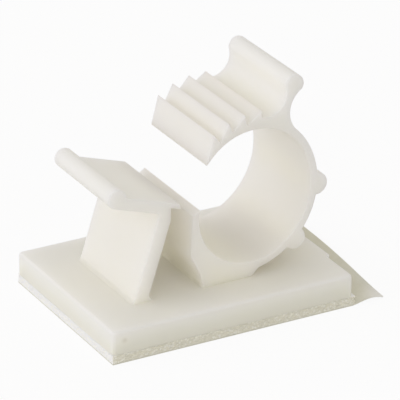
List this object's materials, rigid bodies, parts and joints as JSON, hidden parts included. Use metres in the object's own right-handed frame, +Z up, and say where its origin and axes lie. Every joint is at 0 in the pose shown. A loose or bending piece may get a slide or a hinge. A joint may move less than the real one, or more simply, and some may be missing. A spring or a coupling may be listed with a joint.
{
  "type": "adhesive cable clip",
  "caption": "Foam-backed adhesive base with a springy ratchet C-loop and a snap latch that holds a cable or bundle.",
  "frame": {"origin": "middle of the sticking face, under the plate's centre, at the underside of the release liner", "axes": "+Z up from the plate, +X along the plate from the latch to the loop, +Y along the held cable"},
  "size_m": [0.029, 0.0196, 0.0228],
  "materials": {
    "natural_nylon": "milky natural nylon, as moulded, satin",
    "white_foam": "closed-cell foam tape, cut edge, matt",
    "liner_paper": "siliconised release paper, smooth, slight sheen"
  },
  "bodies": {
    "root": {"clip_body": "natural_nylon", "foam_tape": "white_foam", "release_liner": "liner_paper"}
  },
  "joints": []
}
